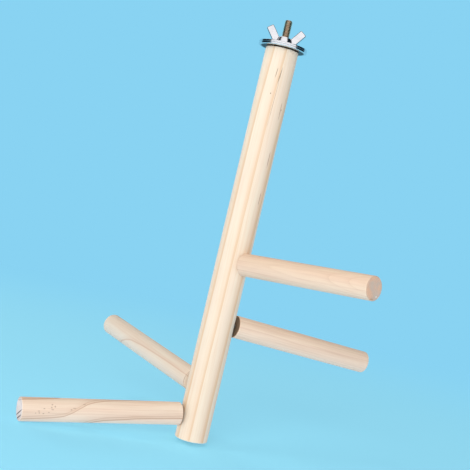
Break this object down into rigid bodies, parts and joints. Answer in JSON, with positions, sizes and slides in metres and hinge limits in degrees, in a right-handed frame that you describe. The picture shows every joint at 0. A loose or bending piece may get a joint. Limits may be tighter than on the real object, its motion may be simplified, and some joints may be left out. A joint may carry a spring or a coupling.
{
  "type": "bolt-on bird cage perch tree",
  "caption": "Round wooden trunk with round side perches stepped up it like a spiral stair; a bolt with wide washers and a wing nut at its top clamps it to a cage panel.",
  "frame": {"origin": "on the hanger bolt's axis, in the plane where the two washers meet and the cage panel is clamped", "axes": "+Z along the bolt from the trunk out to its tip, so the trunk hangs below; +X out of one wing of the wing nut; -Y towards the side seen first"},
  "size_m": [0.2517, 0.2083, 0.3272],
  "materials": {
    "trunk_wood": "bare sanded pine",
    "perch_wood": "bare sanded pine, a little pinker",
    "bright_zinc": "bright zinc plate",
    "yellow_zinc": "yellow zinc plate, dulled",
    "screw_steel": "plain zinc"
  },
  "bodies": {
    "perch_tree": {"trunk": "trunk_wood", "perch_1": "perch_wood", "perch_2": "perch_wood", "perch_3": "perch_wood", "perch_4": "perch_wood", "perch_screw_1": "screw_steel", "perch_screw_2": "screw_steel", "perch_screw_3": "screw_steel", "perch_screw_4": "screw_steel", "hanger_bolt": "yellow_zinc"},
    "lower_washer": {"lower_washer": "bright_zinc"},
    "upper_washer": {"upper_washer": "bright_zinc"},
    "wing_nut": {"wing_nut": "bright_zinc"}
  },
  "joints": [
    {"name": "lower_washer_spin", "type": "hinge", "parent": "perch_tree", "child": "lower_washer", "pos_m": [0, 0, -0.0008], "axis": [0, 0, 1], "continuous": true},
    {"name": "clamp_opening", "type": "slide", "parent": "perch_tree", "child": "upper_washer", "axis": [0, 0, 1], "range_m": [0, 0.0118]},
    {"name": "wing_nut_spin", "type": "hinge", "parent": "upper_washer", "child": "wing_nut", "pos_m": [0, 0, 0.0046], "axis": [0, 0, 1], "range_deg": [0, 4230]}
  ],
  "couplings": [
    {"joint": "clamp_opening", "follows": "wing_nut_spin", "m_per_rad": 0.00015915}
  ]
}
